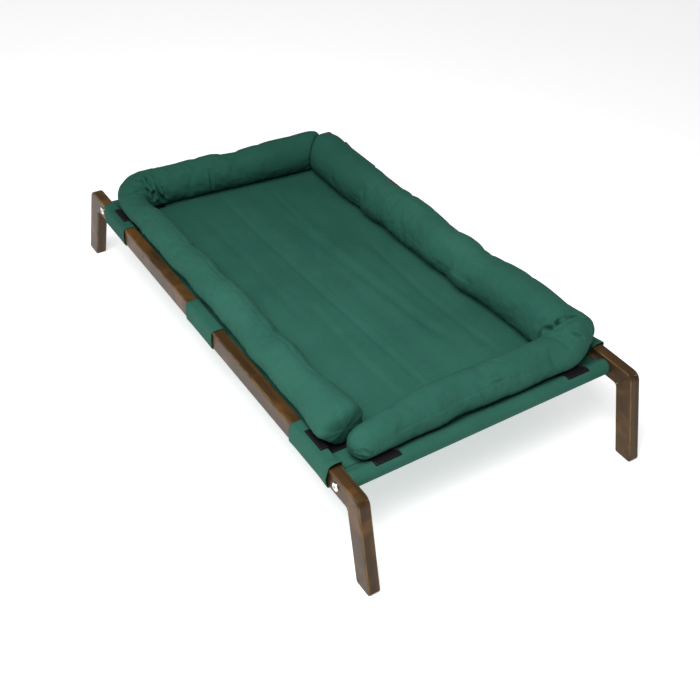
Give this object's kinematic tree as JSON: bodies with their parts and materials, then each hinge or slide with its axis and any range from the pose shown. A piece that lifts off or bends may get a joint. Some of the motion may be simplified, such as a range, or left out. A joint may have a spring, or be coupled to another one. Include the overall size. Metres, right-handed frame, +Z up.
{
  "type": "pet hammock",
  "caption": "Low raised pet bed: a cloth sling on a wooden frame with splayed legs, ringed by soft stuffed bolsters.",
  "frame": {"origin": "on the floor under the middle of the bed", "axes": "+X from the head end to the foot end along the rails, +Y to the right-hand rail, +Z up"},
  "size_m": [1.0968, 0.5904, 0.2425],
  "materials": {
    "stained_wood": "dark walnut stain under satin varnish",
    "bar_wood": "bare hardwood",
    "zinc_insert": "zinc plated",
    "bright_screw": "bright nickel plate",
    "green_canvas": "matt plain weave, deep green",
    "hook_tape": "black hook tape",
    "loop_tape": "black loop tape"
  },
  "bodies": {
    "bed": {"rail_left": "stained_wood", "leg_left_head": "stained_wood", "dowel_left_head_lower": "bar_wood", "dowel_left_head_upper": "bar_wood", "insert_nut_left_head": "zinc_insert", "bolt_left_head": "bright_screw", "hook_patch_side_left_head": "hook_tape", "hook_patch_end_left_head": "hook_tape", "leg_left_foot": "stained_wood", "dowel_left_foot_lower": "bar_wood", "dowel_left_foot_upper": "bar_wood", "insert_nut_left_foot": "zinc_insert", "bolt_left_foot": "bright_screw", "hook_patch_side_left_foot": "hook_tape", "hook_patch_end_left_foot": "hook_tape", "side_loop_left_head": "green_canvas", "side_loop_left_middle": "green_canvas", "side_loop_left_foot": "green_canvas", "rail_right": "stained_wood", "leg_right_head": "stained_wood", "dowel_right_head_lower": "bar_wood", "dowel_right_head_upper": "bar_wood", "insert_nut_right_head": "zinc_insert", "bolt_right_head": "bright_screw", "hook_patch_side_right_head": "hook_tape", "hook_patch_end_right_head": "hook_tape", "leg_right_foot": "stained_wood", "dowel_right_foot_lower": "bar_wood", "dowel_right_foot_upper": "bar_wood", "insert_nut_right_foot": "zinc_insert", "bolt_right_foot": "bright_screw", "hook_patch_side_right_foot": "hook_tape", "hook_patch_end_right_foot": "hook_tape", "side_loop_right_head": "green_canvas", "side_loop_right_middle": "green_canvas", "side_loop_right_foot": "green_canvas", "crossbar_head": "bar_wood", "crossbar_foot": "bar_wood", "sling": "green_canvas"},
    "bolster_left": {"bolster_left": "green_canvas", "soft_patch_side_left_foot": "loop_tape", "soft_patch_side_left_head": "loop_tape", "soft_patch_end_left_head": "loop_tape", "soft_patch_end_right_head": "loop_tape"},
    "bolster_right": {"bolster_right": "green_canvas", "soft_patch_side_right_foot": "loop_tape", "soft_patch_side_right_head": "loop_tape", "soft_patch_end_left_foot": "loop_tape", "soft_patch_end_right_foot": "loop_tape"}
  },
  "joints": [
    {"name": "bolster_left_lift", "type": "slide", "parent": "bed", "child": "bolster_left", "axis": [0, 0, 1], "range_m": [0, 0.15]},
    {"name": "bolster_right_lift", "type": "slide", "parent": "bed", "child": "bolster_right", "axis": [0, 0, 1], "range_m": [0, 0.15]}
  ]
}
